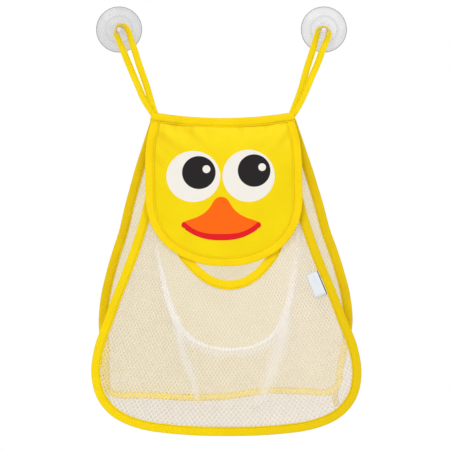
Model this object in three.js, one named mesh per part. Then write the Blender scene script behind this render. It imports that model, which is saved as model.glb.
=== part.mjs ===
// A bath toy organizer: a folding net bag with taped seams and a cloth flap over its mouth.
// It hangs by two tape loops from two clear suction cups. Lengths are in millimetres.
// The wall is the plane y = 0 and the part hangs in front of it, towards -y, with +z up.
// The origin is on the wall, midway between the two cups.

import * as THREE from "three";

// Driving sizes of the whole product
const cupSpacing = 222.6;
const cornerDrop = 88.8;
const bagOffset = 1.5;
const swayShare = 0.0134;

// Cloths and their folded tape
const netThickness = 0.4;
const tapeThickness = 0.5;
const flapThickness = 0.9;
const bindingWidth = 10;
const clearance = 0.3;
const tapeLip = 1;

// Front panel, measured down from the top corners
const strapTopHalf = 67.4;
const frontHalfWidth = 141.5;
const frontHeight = 347.5;
const frontTopDepth = 7.05;
const frontBottomDepth = 34;
const frontSwellDepth = 12;

// Back panel, against the front one
const backNarrower = 8.5;
const backShorter = 37.7;
const backDepth = 5.4;
const backTilt = 0.02;

// Folded gusset between the two panels
const creaseRise = 88.8;
const creaseRoom = 2.6;
const creaseFold = 0.5;
const creaseSway = 4.8;

// Mouth of the front panel
const mouthDrop = 188.8;
const mouthLean = 8;
const mouthSway = 4.6;

// Tape along the top edge
const topBindingLength = 160;
const topSag = 7;
const topEdgeRoom = 0.4;
const cornerGap = 1.5;

// Flap
const flapHalfWidth = 80.2;
const flapHeight = 163.5;
const flapTopHalf = 73.2;
const flapTopDepth = 11.2;
const flapBottomDepth = 28.6;
const flapSwellDepth = 2.5;
const flapGap = 0.7;
const flapCornerRoom = 2;

// Hanging loops of folded tape, sewn to the ends of the top tape
const loopInset = 1.5;
const loopWidth = 7.4;
const loopThickness = 1.5;
const loopTwistAtNeck = 25;
const loopTwistAtCorner = 90;
const loopTwistLength = 84;
const loopWaist = 6.3;

// Clear suction cups
const cupRadius = 25;
const cupLipWidth = 2.6;
const cupLipThickness = 1.2;
const cupRingRadius = 14;
const cupRingHeight = 4.7;
const cupStep = 0.7;
const cupBossRadius = 7;
const cupBossHeight = 7;
const cupHollow = 3.2;
const neckRadius = 2.1;
const neckLength = 8.2;
const neckFlare = 0.6;
const headRadius = 7.1;
const headHeight = 3.8;
const headEdge = 1.1;

// Blank label sewn to the front seam
const labelDrop = 24;
const labelWidth = 12;
const labelThickness = 0.4;
const labelDown = 171;

// Fineness of the meshes
const stepsPerShare = 2;
const cupFacets = 32;
const loopSteps = 2;
const topMarks = 13;

// Sizes that follow from the ones above
const cornerHalf = topBindingLength / 2 - loopInset;
const backHalfWidth = frontHalfWidth - backNarrower;
const backHeight = frontHeight - backShorter;
const doubleSlot = 2 * netThickness + 3 * clearance;
const singleSlot = netThickness + 2 * clearance;
const flapSlot = flapThickness + 2 * clearance;
const doubleBinding = doubleSlot + 2 * tapeThickness;
const layer = (netThickness + clearance) / 2;
const topBindingBack = backDepth - doubleBinding / 2;
const topBindingFront = frontTopDepth + doubleBinding / 2;
const topBindingDepth = (topBindingBack + topBindingFront) / 2;
const topSlot = topBindingFront - topBindingBack - 2 * tapeThickness;
const backTopHalf = strapTopHalf + bindingWidth + cornerGap;
const frontSlope = (frontBottomDepth - frontTopDepth) / frontHeight;
const flapSlope = (flapBottomDepth - flapTopDepth) / (flapHeight - bindingWidth);
const apexRadius = neckRadius + clearance + tiltedHalf(loopTwistAtNeck);
const neckDepth = cupBossHeight + neckLength / 2;

// Outlines as shares, from the top corner round to the middle of the bottom. Each row is one place
// on every seam, so the panels and the gusset are cut to the same marks.
// Front seam: flare from the strap's top to the widest place, and drop to the bottom edge.
const frontShares = [
  [0, 0], [0.059, 0.087], [0.132, 0.185], [0.205, 0.267], [0.289, 0.335], [0.418, 0.42],
  [0.543, 0.491], [0.686, 0.57], [0.814, 0.648], [0.946, 0.726], [1, 0.811], [0.931, 0.883],
  [0.733, 0.938], [0.381, 0.975], [-0.176, 0.994], [-0.909, 1],
];
// Back seam: flare from its top to its widest place, and drop to the bottom edge.
const backShares = [
  [0, 0], [0.117, 0.091], [0.291, 0.208], [0.441, 0.303], [0.572, 0.398], [0.723, 0.478],
  [0.849, 0.555], [0.953, 0.635], [1, 0.726], [0.954, 0.821], [0.874, 0.909], [0.814, 0.96],
  [0.633, 0.995], [0.11, 1], [-0.61, 1], [-1.454, 1],
];
// Gusset crease: across, as a share of the room inside the front tape, and its rise.
const creaseShares = [
  [0.995, 0], [0.995, 0], [0.995, 0], [0.981, 0], [0.95, 0], [0.842, 0.024], [0.725, 0.037],
  [0.614, 0.073], [0.518, 0.147], [0.438, 0.282], [0.372, 0.496], [0.316, 0.679], [0.268, 0.826],
  [0.232, 0.927], [0.218, 0.982], [0, 1],
];
// Mouth seam, from the strap down to its lowest place: across as a share of the room beside the
// strap, and drop.
const mouthShares = [
  [1, 0.461], [0.985, 0.53], [0.975, 0.604], [0.94, 0.685], [0.885, 0.748], [0.82, 0.794],
  [0.75, 0.835], [0.68, 0.866], [0.594, 0.898], [0.502, 0.93], [0.396, 0.957], [0.284, 0.98],
  [0.143, 0.995], [0, 1],
];
const mouthFirst = 2;
const netFirst = 3;
const gussetFirst = 1;
// Flap seam: flare from its top to its widest place, and drop to the bottom edge.
const flapShares = [
  [0, 0], [0.69, 0.13], [0.984, 0.275], [1, 0.443], [0.953, 0.58], [0.61, 0.674],
  [-0.165, 0.761], [-1.376, 0.841], [-3.083, 0.907], [-5.18, 0.957], [-7.66, 0.99], [-10.46, 1],
];
// How far the mouth leans out, from its end to its lowest place.
const leanShares = [0, 0, 0.05, 0.15, 0.3, 0.44, 0.58, 0.7, 0.8, 0.88, 0.94, 0.98, 1, 1];
// Hanging loop from the neck's top to the corner: place along it, spread as a share of its waist,
// and depths of the leg in front and of the leg behind, from the neck's to the corner's.
const loopShares = [
  [0.105, 1, 0.13, 0.17], [0.23, 0.94, 0.28, 0.38], [0.38, 0.83, 0.48, 0.6],
  [0.52, 0.76, 0.62, 0.78], [0.66, 0.68, 0.74, 0.88], [0.8, 0.46, 0.88, 0.95],
  [0.9, 0.22, 0.96, 0.98], [1, 0.06, 1, 1],
];
const swellShares = [0.12, 0.3, 0.5, 0.7, 0.88];
const foldShares = [0.35, 0.75];
const labelShares = [0, 0.35, 0.7, 1];
// Turned curves as shares of radius and height: the hollow behind a cup and the top of its knob.
const hollowShares = [[0, 1], [0.33, 0.9], [0.67, 0.5]];
const headShares = [[0.87, 0.62], [0.5, 0.9], [0, 1]];

// Colours, as the product is dyed
const yellowTape = { color: 0xf8d60c, roughness: 0.75 };
const shadedTape = { color: 0xebc206, roughness: 0.75 };
const creamNet = { color: 0xeee6d2, roughness: 0.9 };
const yellowCloth = { color: 0xfbe21c, roughness: 0.7 };
const clearVinyl = { color: 0xe2e4e8, roughness: 0.12 };
const whiteLabel = { color: 0xf4f4f0, roughness: 0.8 };

// Half of the room that the turned loop tape takes, measured away from the neck.
function tiltedHalf(degrees) {
  const angle = THREE.MathUtils.degToRad(degrees);
  return (loopWidth * Math.sin(angle) + loopThickness * Math.cos(angle)) / 2;
}

// Depths of the panels below the top corners
function frontDepthAt(down) {
  return frontTopDepth + frontSlope * down;
}

function flapDepthAt(down) {
  return flapTopDepth + flapSlope * (down - bindingWidth);
}

// The top tape's centre line sags between the corners.
function topLineDown(across) {
  const share = across / (topBindingLength / 2);
  return topEdgeRoom + bindingWidth / 2 + topSag * Math.max(0, 1 - share * share);
}

function belowTopTape(across, gap) {
  return topLineDown(across) + bindingWidth / 2 + gap;
}

// Half outlines: [across, down] for each mark, worked out from the tables of shares
function flaredOutline(shares, topHalf, widest, height, gap) {
  const start = belowTopTape(topHalf, gap);
  return shares.map(([flare, drop], i) => [
    i === shares.length - 1 ? 0 : topHalf + (widest - topHalf) * flare,
    start + (height - start) * drop,
  ]);
}

const frontOutline = flaredOutline(frontShares, strapTopHalf, frontHalfWidth, frontHeight, cornerGap);
const backOutline = flaredOutline(backShares, backTopHalf, backHalfWidth, backHeight, cornerGap);
const flapOutline = flaredOutline(flapShares, flapTopHalf, flapHalfWidth, flapHeight, flapGap);
const creaseOutline = creaseShares.map(([across, rise], i) => [
  Math.max(0, frontOutline[i][0] - bindingWidth / 2 - creaseRoom) * across,
  frontOutline[i][1] - creaseRise * rise,
]);
const mouthHalf = frontOutline[mouthFirst][0] - bindingWidth - 2 * cornerGap;
const mouthOutline = mouthShares.map(([across, drop]) => [mouthHalf * across, mouthDrop * drop]);

// Lays a half outline out as places {x, down} from left to right, over both halves. The sway moves
// its lowest place sideways and the tilt lifts its right side.
function bothHalves(outline, sway = 0, tilt = 0) {
  const last = outline.length - 1;
  const place = (i, side) => ({
    x: side * outline[i][0] + (swayShare + sway / outline[last][1]) * outline[i][1],
    down: outline[i][1] * (1 - (tilt * side * outline[i][0]) / outline[last][1]),
  });
  const left = outline.map((_, i) => place(i, -1));
  const right = outline.slice(0, -1).map((_, i) => place(i, 1)).reverse();
  return left.concat(right);
}

// A seam is a smooth curve through its places, sampled at steps between the marks. Each step holds
// its point, the way into the cloth and the way to the front.
function seam(places, depthAt, slope, side, extraDepth = () => 0) {
  const points = places.map((p, i) => new THREE.Vector3(p.x, -depthAt(p.down) - extraDepth(i), -p.down));
  const curve = new THREE.CatmullRomCurve3(points, false, "centripetal");
  const count = (points.length - 1) * stepsPerShare;
  const facing = new THREE.Vector3(0, -1, slope).normalize();
  const small = 1 / (8 * count);
  return Array.from({ length: count + 1 }, (_, i) => {
    const t = i / count;
    const ahead = curve.getPoint(Math.min(1, t + small));
    const along = ahead.sub(curve.getPoint(Math.max(0, t - small))).normalize();
    const front = facing.clone().addScaledVector(along, -facing.dot(along)).normalize();
    const inward = front.clone().cross(along).multiplyScalar(side);
    return { point: curve.getPoint(t), inward, front };
  });
}

// A point beside a seam: so far into the cloth, and so far to its front.
function beside(step, into, toFront) {
  return step.point.clone().addScaledVector(step.inward, into).addScaledVector(step.front, toFront);
}

// Triangles of a closed solid between two grids of points that face each other.
function solidBetween(frontGrid, backGrid) {
  const rows = frontGrid.length;
  const columns = frontGrid[0].length;
  const points = frontGrid.flat().concat(backGrid.flat());
  const positions = points.flatMap((p) => [p.x, p.y, p.z]);
  const index = [];
  const front = (i, j) => i * columns + j;
  const back = (i, j) => (rows + i) * columns + j;
  const quad = (a, b, c, d) => index.push(a, b, c, a, c, d);
  for (let i = 0; i < rows - 1; i++) {
    for (let j = 0; j < columns - 1; j++) {
      quad(front(i, j), front(i + 1, j), front(i + 1, j + 1), front(i, j + 1));
      quad(back(i, j), back(i, j + 1), back(i + 1, j + 1), back(i + 1, j));
    }
    quad(front(i, 0), back(i, 0), back(i + 1, 0), front(i + 1, 0));
    const end = columns - 1;
    quad(front(i, end), front(i + 1, end), back(i + 1, end), back(i, end));
  }
  for (let j = 0; j < columns - 1; j++) {
    quad(front(0, j), front(0, j + 1), back(0, j + 1), back(0, j));
    const end = rows - 1;
    quad(front(end, j), back(end, j), back(end, j + 1), front(end, j + 1));
  }
  const geometry = new THREE.BufferGeometry();
  geometry.setAttribute("position", new THREE.Float32BufferAttribute(positions, 3));
  geometry.setIndex(index);
  geometry.computeVertexNormals();
  return geometry;
}

// The normal of a grid of points at one of them.
function gridNormal(grid, i, j) {
  const downRows = grid[Math.min(i + 1, grid.length - 1)][j].clone().sub(grid[Math.max(i - 1, 0)][j]);
  const row = grid[i];
  const acrossRow = row[Math.min(j + 1, row.length - 1)].clone().sub(row[Math.max(j - 1, 0)]);
  return downRows.cross(acrossRow).normalize();
}

// Cloth: a grid of points on its middle, thickened to both sides.
function cloth(grid, thickness) {
  const offset = (amount) =>
    grid.map((row, i) => row.map((p, j) => p.clone().addScaledVector(gridNormal(grid, i, j), amount)));
  return solidBetween(offset(thickness / 2), offset(-thickness / 2));
}

// Tape folded over the edge of a seam. The slot between its two walls takes the cloths.
function bindingGeometry(steps, slot) {
  const wall = (slot + tapeThickness) / 2;
  const edge = bindingWidth / 2;
  const fold = -edge + tapeThickness / 2;
  const turn = fold + Math.min(wall, edge / 2);
  const section = [[edge, wall], [turn, wall], [fold, 0], [turn, -wall], [edge, -wall]];
  return cloth(steps.map((s) => section.map(([into, toFront]) => beside(s, into, toFront))), tapeThickness);
}

// Where cloth inside a folded tape ends, and where it comes out.
function slotEnd(slot) {
  return -bindingWidth / 2 + tapeThickness + Math.min((slot + tapeThickness) / 2, bindingWidth / 4);
}

const tapeEdge = bindingWidth / 2 + tapeLip;

// The middle of a stretch of cloth between two points, swollen to the front.
function between(a, b, share, toFront, amount) {
  return a.clone().lerp(b, share).addScaledVector(toFront, amount);
}

// Seams of the bag
const frontPlaces = bothHalves(frontOutline);
const frontSeam = seam(frontPlaces, frontDepthAt, frontSlope, 1);
const backSeam = seam(bothHalves(backOutline, 0, backTilt), () => backDepth, 0, 1);
const creaseDepthAt = (down) => (frontDepthAt(down) + backDepth) / 2;
const creaseSeam = seam(bothHalves(creaseOutline, creaseSway), creaseDepthAt, frontSlope / 2, 1);
const mouthPlaces = bothHalves(mouthOutline, mouthSway);
const mouthLeanAt = (i) => mouthLean * leanShares[Math.min(i, mouthPlaces.length - 1 - i)];
const mouthSeam = seam(mouthPlaces, frontDepthAt, frontSlope, -1, mouthLeanAt);
const flapSeam = seam(bothHalves(flapOutline), flapDepthAt, flapSlope, 1);

// Places along the top edge, one for each mark of a seam, spread evenly.
function topPlaces(count, half, gap) {
  return Array.from({ length: count }, (_, i) => {
    const x = half * ((2 * i) / (count - 1) - 1);
    return { x, down: topLineDown(x) + gap };
  });
}

const topSeam = seam(topPlaces(topMarks, topBindingLength / 2, 0), () => topBindingDepth, 0, -1);
const netTopHalf = strapTopHalf + bindingWidth / 2;
const backNetTop = seam(topPlaces(frontPlaces.length, netTopHalf, 0), () => backDepth - layer, 0, -1);

// The part of a seam from one of its marks to the same mark on the other side.
function fromMark(steps, mark) {
  return steps.slice(mark * stepsPerShare, steps.length - mark * stepsPerShare);
}

function frontNetGrid() {
  const bottom = fromMark(frontSeam, netFirst);
  const top = fromMark(mouthSeam, netFirst - mouthFirst);
  const longest = frontHeight - mouthDrop;
  return bottom.map((low, i) => {
    const high = top[i];
    const from = beside(high, tapeEdge, 0);
    const to = beside(low, tapeEdge, layer);
    const swell = (frontSwellDepth * from.distanceTo(to)) / longest;
    const middle = swellShares.map((share) =>
      between(from, to, share, low.front, swell * Math.sin(Math.PI * share) ** 2));
    const first = beside(high, slotEnd(singleSlot), 0);
    const last = beside(low, slotEnd(doubleSlot), layer);
    return [first, from, ...middle, to, last];
  });
}

function backNetGrid() {
  return backSeam.map((low, i) => {
    const high = backNetTop[i];
    const from = beside(high, tapeEdge, 0);
    const to = beside(low, tapeEdge, -layer);
    const middle = foldShares.map((share) => between(from, to, share, low.front, 0));
    const first = beside(high, slotEnd(topSlot), 0);
    const last = beside(low, slotEnd(doubleSlot), -layer);
    return [first, from, ...middle, to, last];
  });
}

// The gusset runs from the front tape in to its crease and out again to the back tape.
function gussetGrid() {
  const front = fromMark(frontSeam, gussetFirst);
  const crease = fromMark(creaseSeam, gussetFirst);
  const back = fromMark(backSeam, gussetFirst);
  return front.map((start, i) => {
    const fold = crease[i];
    const end = back[i];
    const frontOut = beside(start, tapeEdge, -layer);
    const foldFront = beside(fold, 0, creaseFold);
    const foldBack = beside(fold, 0, -creaseFold);
    const backOut = beside(end, tapeEdge, layer);
    return [
      beside(start, slotEnd(doubleSlot), -layer),
      frontOut,
      ...foldShares.map((share) => between(frontOut, foldFront, share, fold.front, 0)),
      foldFront,
      beside(fold, creaseFold, 0),
      foldBack,
      ...foldShares.map((share) => between(foldBack, backOut, share, fold.front, 0)),
      backOut,
      beside(end, slotEnd(doubleSlot), layer),
    ];
  });
}

function flapGrid() {
  const half = flapTopHalf - tapeEdge - flapCornerRoom;
  const places = topPlaces(flapOutline.length * 2 - 1, half, bindingWidth / 2 + flapGap);
  const top = seam(places, flapDepthAt, flapSlope, -1);
  const longest = flapHeight - bindingWidth;
  return flapSeam.map((low, i) => {
    const from = top[i].point;
    const to = beside(low, tapeEdge, 0);
    const swell = (flapSwellDepth * from.distanceTo(to)) / longest;
    const middle = swellShares.map((share) =>
      between(from, to, share, low.front, swell * Math.sin(Math.PI * share)));
    return [from, ...middle, to, beside(low, slotEnd(flapSlot), 0)];
  });
}

// The label lies on the front net, beside the tape of the right seam.
function labelGrid() {
  const net = new THREE.Mesh(cloth(frontNetGrid(), netThickness));
  const right = frontSeam.slice(Math.floor(frontSeam.length / 2));
  const lift = 2 * clearance + labelThickness / 2;
  return labelShares.map((along) => {
    const down = labelDown + labelDrop * (1 - along);
    const step = right.find((s) => -s.point.z <= down);
    const next = right[right.indexOf(step) - 1];
    const share = (down + step.point.z) / (step.point.z - next.point.z);
    return labelShares.map((across) => {
      const p = beside(step, bindingWidth / 2 + clearance + labelWidth * across, 0);
      p.addScaledVector(next.point.clone().sub(step.point), share);
      return p.setY(frontOf(net, p) - lift);
    });
  });
}

// Where a line straight back from the front first meets a piece of cloth.
function frontOf(mesh, point) {
  const start = new THREE.Vector3(point.x, -frontHeight, point.z);
  const ray = new THREE.Raycaster(start, new THREE.Vector3(0, 1, 0));
  return ray.intersectObject(mesh)[0].point.y;
}

// Steps of one hanging loop, up the leg behind, over the neck and down the leg in front.
function loopSteps3d(neck, corner) {
  const run = corner.clone().sub(neck);
  const length = run.length();
  const down = run.clone().normalize();
  const across = new THREE.Vector3(0, 1, 0).cross(down);
  const reach = length - (loopWidth / 2) * Math.abs(down.x);
  const frontEnd = topBindingFront - loopThickness / 2;
  const backEnd = frontEnd - loopThickness - clearance;
  const place = (along, spread, depth) =>
    neck.clone().addScaledVector(down, along).addScaledVector(across, spread).setY(-depth);
  const leg = (side, end, column) => loopShares.map((row) => {
    const depth = THREE.MathUtils.lerp(neckDepth, end, row[column]);
    return place(reach * row[0], side * loopWaist * row[1], depth);
  });
  const arch = [-90, -60, -30, 0, 30, 60, 90].map((degrees) => {
    const angle = THREE.MathUtils.degToRad(degrees);
    return place(-apexRadius * Math.cos(angle), apexRadius * Math.sin(angle), neckDepth);
  });
  const points = [...leg(-1, backEnd, 3).reverse(), ...arch, ...leg(1, frontEnd, 2)];
  const curve = new THREE.CatmullRomCurve3(points, false, "centripetal");
  const count = (points.length - 1) * loopSteps;
  const small = 1 / (8 * count);
  return Array.from({ length: count + 1 }, (_, i) => {
    const t = i / count;
    const point = curve.getPoint(t);
    const ahead = curve.getPoint(Math.min(1, t + small));
    const along = ahead.sub(curve.getPoint(Math.max(0, t - small))).normalize();
    return { point, along, fromNeck: point.clone().setY(neck.y).distanceTo(neck) };
  });
}

// The tape stands nearly on edge over the neck and turns flat to the front on its way down. Both
// ends are cut level, where they meet the top tape.
function loopGeometry(neck, corner) {
  const steps = loopSteps3d(neck, corner);
  const grid = steps.map(({ point, along, fromNeck }, i) => {
    const turn = THREE.MathUtils.smoothstep(fromNeck - apexRadius, 0, loopTwistLength);
    const degrees = THREE.MathUtils.lerp(loopTwistAtNeck, loopTwistAtCorner, turn);
    const angle = THREE.MathUtils.degToRad(degrees);
    const axis = new THREE.Vector3(0, -1, 0);
    axis.addScaledVector(along, -axis.dot(along)).normalize();
    const out = along.clone().cross(axis);
    const wide = axis.multiplyScalar(Math.cos(angle)).addScaledVector(out, Math.sin(angle));
    const row = [-0.5, 0, 0.5].map((share) => point.clone().addScaledVector(wide, loopWidth * share));
    if (i > 0 && i < steps.length - 1) return row;
    return row.map((p) => p.addScaledVector(along, (corner.z - p.z) / along.z));
  });
  return cloth(grid, loopThickness);
}

// A suction cup with a mushroom knob, turned about its neck: [radius, height above the wall].
function cupGeometry() {
  const headBase = cupBossHeight + neckLength;
  const profile = [
    ...hollowShares.map(([radius, height]) => [cupRadius * radius, cupHollow * height]),
    [cupRadius - cupLipWidth, 0],
    [cupRadius, 0],
    [cupRadius, cupLipThickness],
    [(cupRadius + cupRingRadius) / 2, (cupLipThickness + cupRingHeight) / 2 + cupStep / 2],
    [cupRingRadius + cupStep, cupRingHeight],
    [cupRingRadius, cupRingHeight + cupStep],
    [cupBossRadius, cupBossHeight],
    [neckRadius + neckFlare, cupBossHeight + neckFlare / 2],
    [neckRadius, cupBossHeight + neckFlare],
    [neckRadius, headBase],
    [headRadius - headEdge / 2, headBase],
    [headRadius, headBase + headEdge],
    ...headShares.map(([radius, height]) => [headRadius * radius, headBase + headHeight * height]),
  ];
  const points = profile.map(([radius, height]) => new THREE.Vector2(radius, height));
  return new THREE.LatheGeometry(points, cupFacets).rotateX(Math.PI);
}

function piece(name, geometry, look) {
  const mesh = new THREE.Mesh(geometry, new THREE.MeshStandardMaterial({ metalness: 0, ...look }));
  mesh.name = name;
  return mesh;
}

// The wall side: each loop hangs over its cup's neck and ends at a top corner of the bag.
function hangingSide(name, side) {
  const group = new THREE.Group();
  const neck = new THREE.Vector3((side * cupSpacing) / 2, -neckDepth, 0);
  const corner = new THREE.Vector3(bagOffset + side * cornerHalf, -neckDepth, -cornerDrop);
  const cup = piece(name + "_suction_cup", cupGeometry(), clearVinyl);
  cup.position.set(neck.x, 0, 0);
  group.add(cup, piece(name + "_hanging_loop", loopGeometry(neck, corner), yellowTape));
  return group;
}

function flap() {
  const group = new THREE.Group();
  group.add(piece("flap_panel", cloth(flapGrid(), flapThickness), yellowCloth));
  group.add(piece("flap_binding", bindingGeometry(flapSeam, flapSlot), yellowTape));
  return group;
}

function bag() {
  const group = new THREE.Group();
  group.position.set(bagOffset, 0, -cornerDrop);
  group.add(piece("back_net", cloth(backNetGrid(), netThickness), creamNet));
  group.add(piece("front_net", cloth(frontNetGrid(), netThickness), creamNet));
  group.add(piece("gusset_net", cloth(gussetGrid(), netThickness), creamNet));
  group.add(piece("back_binding", bindingGeometry(backSeam, doubleSlot), shadedTape));
  group.add(piece("front_binding", bindingGeometry(frontSeam, doubleSlot), yellowTape));
  group.add(piece("mouth_binding", bindingGeometry(mouthSeam, singleSlot), yellowTape));
  group.add(piece("top_binding", bindingGeometry(topSeam, topSlot), yellowTape));
  group.add(piece("side_label", cloth(labelGrid(), labelThickness), whiteLabel));
  group.add(flap());
  return group;
}

const organizer = new THREE.Group();
organizer.add(hangingSide("left", -1), hangingSide("right", 1), bag());

export default organizer;
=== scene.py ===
"""Looks of the bath toy organizer: net bag, taped seams, printed flap, loops and clear cups.

Lengths are in millimetres until a mesh is made. The wall is y = 0, the part hangs towards -y, +z is up.
Bag coordinates start on the wall behind the middle of the bag's top. A place on a seam is (x, drop), and
drop is how far it lies below the bag's top. Rows and columns are pixels of the photograph.
"""

import copy
import math

import bpy
import numpy as np
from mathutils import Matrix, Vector
from mathutils.bvhtree import BVHTree


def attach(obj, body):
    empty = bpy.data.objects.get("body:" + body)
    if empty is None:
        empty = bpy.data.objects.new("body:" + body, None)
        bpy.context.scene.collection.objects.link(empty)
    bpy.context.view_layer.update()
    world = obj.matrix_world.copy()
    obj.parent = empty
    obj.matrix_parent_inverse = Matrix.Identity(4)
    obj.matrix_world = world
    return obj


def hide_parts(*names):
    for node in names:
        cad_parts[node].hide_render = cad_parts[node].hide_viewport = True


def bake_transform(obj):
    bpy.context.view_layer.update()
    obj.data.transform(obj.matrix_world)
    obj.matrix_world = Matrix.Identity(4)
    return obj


MM = 0.001

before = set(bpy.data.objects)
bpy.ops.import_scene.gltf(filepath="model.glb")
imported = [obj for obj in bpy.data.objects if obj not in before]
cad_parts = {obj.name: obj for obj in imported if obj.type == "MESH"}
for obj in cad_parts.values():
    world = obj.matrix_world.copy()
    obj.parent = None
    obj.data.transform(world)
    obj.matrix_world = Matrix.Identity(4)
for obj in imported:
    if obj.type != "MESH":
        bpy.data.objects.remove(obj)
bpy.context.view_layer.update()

# Sizes shared with the solids
CUP_X = 111.3
CORNER_DROP = 88.8
BAG_OFFSET = 1.5
SWAY = 0.0134
NET = 0.4
TAPE = 0.5
FLAP = 0.9
WIDTH = 10.0
GAP = 0.3
LIP = 1.0
STRAP_TOP = 67.4
FRONT_HALF = 141.5
FRONT_HEIGHT = 347.5
FRONT_TOP_DEPTH = 7.05
FRONT_BOTTOM_DEPTH = 34.0
FRONT_SWELL = 12.0
BACK_HALF = 133.0
BACK_HEIGHT = 309.8
BACK_DEPTH = 5.4
BACK_TILT = 0.02
CREASE_RISE = 88.8
CREASE_ROOM = 2.6
CREASE_SWAY = 4.8
MOUTH_DROP = 188.8
MOUTH_LEAN = 8.0
MOUTH_SWAY = 4.6
TOP_LENGTH = 160.0
TOP_SAG = 7.0
TOP_ROOM = 0.4
CORNER_GAP = 1.5
FLAP_HALF = 80.2
FLAP_HEIGHT = 163.5
FLAP_TOP_HALF = 73.2
FLAP_TOP_DEPTH = 11.2
FLAP_BOTTOM_DEPTH = 28.6
FLAP_SWELL = 2.5
FLAP_GAP = 0.7
LOOP_WIDTH = 7.4
LOOP_THICK = 1.5
NECK_DEPTH = 11.1
NECK_RADIUS = 2.1

# The photograph: a pixel in millimetres, its size in pixels, and the pixel at the row frame's origin
PIXEL = 1.087
PHOTO_SIZE = 450
PHOTO_COLUMN, PHOTO_ROW = 221.5, 29.5

DOUBLE_SLOT = 2 * NET + 3 * GAP
SINGLE_SLOT = NET + 2 * GAP
FLAP_SLOT = FLAP + 2 * GAP
LAYER = (NET + GAP) / 2
DOUBLE = DOUBLE_SLOT + 2 * TAPE
TOP_BACK = BACK_DEPTH - DOUBLE / 2
TOP_FRONT = FRONT_TOP_DEPTH + DOUBLE / 2
TOP_MIDDLE = (TOP_BACK + TOP_FRONT) / 2
TOP_SLOT = TOP_FRONT - TOP_BACK - 2 * TAPE
BACK_TOP_HALF = STRAP_TOP + WIDTH + CORNER_GAP
FRONT_SLOPE = (FRONT_BOTTOM_DEPTH - FRONT_TOP_DEPTH) / FRONT_HEIGHT
FLAP_SLOPE = (FLAP_BOTTOM_DEPTH - FLAP_TOP_DEPTH) / (FLAP_HEIGHT - WIDTH)
# The planes that seams lie in: the depth at the bag's top, and how much it grows with the drop
FRONT_PLANE = (FRONT_TOP_DEPTH, FRONT_SLOPE)
CREASE_PLANE = ((FRONT_TOP_DEPTH + BACK_DEPTH) / 2, FRONT_SLOPE / 2)
FLAP_PLANE = (FLAP_TOP_DEPTH - FLAP_SLOPE * WIDTH, FLAP_SLOPE)
TAPE_EDGE = WIDTH / 2 + LIP
BAG_ORIGIN = np.array([BAG_OFFSET, 0, -CORNER_DROP])

FRONT_SHARES = [
    (0, 0), (0.059, 0.087), (0.132, 0.185), (0.205, 0.267), (0.289, 0.335), (0.418, 0.42),
    (0.543, 0.491), (0.686, 0.57), (0.814, 0.648), (0.946, 0.726), (1, 0.811), (0.931, 0.883),
    (0.733, 0.938), (0.381, 0.975), (-0.176, 0.994), (-0.909, 1),
]
BACK_SHARES = [
    (0, 0), (0.117, 0.091), (0.291, 0.208), (0.441, 0.303), (0.572, 0.398), (0.723, 0.478),
    (0.849, 0.555), (0.953, 0.635), (1, 0.726), (0.954, 0.821), (0.874, 0.909), (0.814, 0.96),
    (0.633, 0.995), (0.11, 1), (-0.61, 1), (-1.454, 1),
]
CREASE_SHARES = [
    (0.995, 0), (0.995, 0), (0.995, 0), (0.981, 0), (0.95, 0), (0.842, 0.024), (0.725, 0.037),
    (0.614, 0.073), (0.518, 0.147), (0.438, 0.282), (0.372, 0.496), (0.316, 0.679),
    (0.268, 0.826), (0.232, 0.927), (0.218, 0.982), (0, 1),
]
MOUTH_SHARES = [
    (1, 0.461), (0.985, 0.53), (0.975, 0.604), (0.94, 0.685), (0.885, 0.748), (0.82, 0.794),
    (0.75, 0.835), (0.68, 0.866), (0.594, 0.898), (0.502, 0.93), (0.396, 0.957), (0.284, 0.98),
    (0.143, 0.995), (0, 1),
]
FLAP_SHARES = [
    (0, 0), (0.69, 0.13), (0.984, 0.275), (1, 0.443), (0.953, 0.58), (0.61, 0.674),
    (-0.165, 0.761), (-1.376, 0.841), (-3.083, 0.907), (-5.18, 0.957), (-7.66, 0.99), (-10.46, 1),
]
LEAN_SHARES = [0, 0, 0.05, 0.15, 0.3, 0.44, 0.58, 0.7, 0.8, 0.88, 0.94, 0.98, 1, 1]
# The places of the front seam at which the mouth, the front net and the gusset begin
MOUTH_FIRST, NET_FIRST, GUSSET_FIRST = 2, 3, 1
STEPS = 8
# How far the upper ends of the seams are drawn in, left and right, and over what height
DRAWN_FRONT, DRAWN_BACK, DRAWN_OVER = (1.4, 1.0), (5.0, 4.2), 62.0
# The lean of the back tape's low part: degrees, the drop that it begins at, and over how much
LEAN_LEFT, LEAN_RIGHT = (50, 235, 60), (54, 222, 32)

# The back seam's bottom as it waves behind the net, and where and how fast the seam goes over to the wave
WAVE_COLUMNS = [108, 111, 120, 132, 145, 155, 170, 185, 200, 215, 225, 240, 258, 268, 277, 292, 307, 322,
                332, 336]
WAVE_ROWS = [389, 397, 395, 394, 394.6, 395.5, 397, 397.2, 397.4, 397, 396.4, 395, 392.2, 390.6, 390, 391,
             391.4, 391.8, 391.5, 388]
WAVE_START, WAVE_BLEND = 384, 8
# How far left the back seam's left and right sides show, in pixels, at which row most, over how many rows
LEFT_SHIFT, RIGHT_SHIFT = (5.0, 380, 24), (2.3, 368, 22)


# Places

def photo_row(drop):
    """The row of the photograph at a drop below the bag's top."""
    return (drop + CORNER_DROP) / PIXEL + PHOTO_ROW


def photo_drop(row):
    return (row - PHOTO_ROW) * PIXEL - CORNER_DROP


def photo_place(column, row, depth):
    """A pixel of the photograph as bag coordinates, at a depth in front of the wall."""
    return ((column - PHOTO_COLUMN) * PIXEL - BAG_OFFSET, -depth, -photo_drop(row))


def smooth_step(t):
    t = np.clip(t, 0, 1)
    return t * t * (3 - 2 * t)


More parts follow.
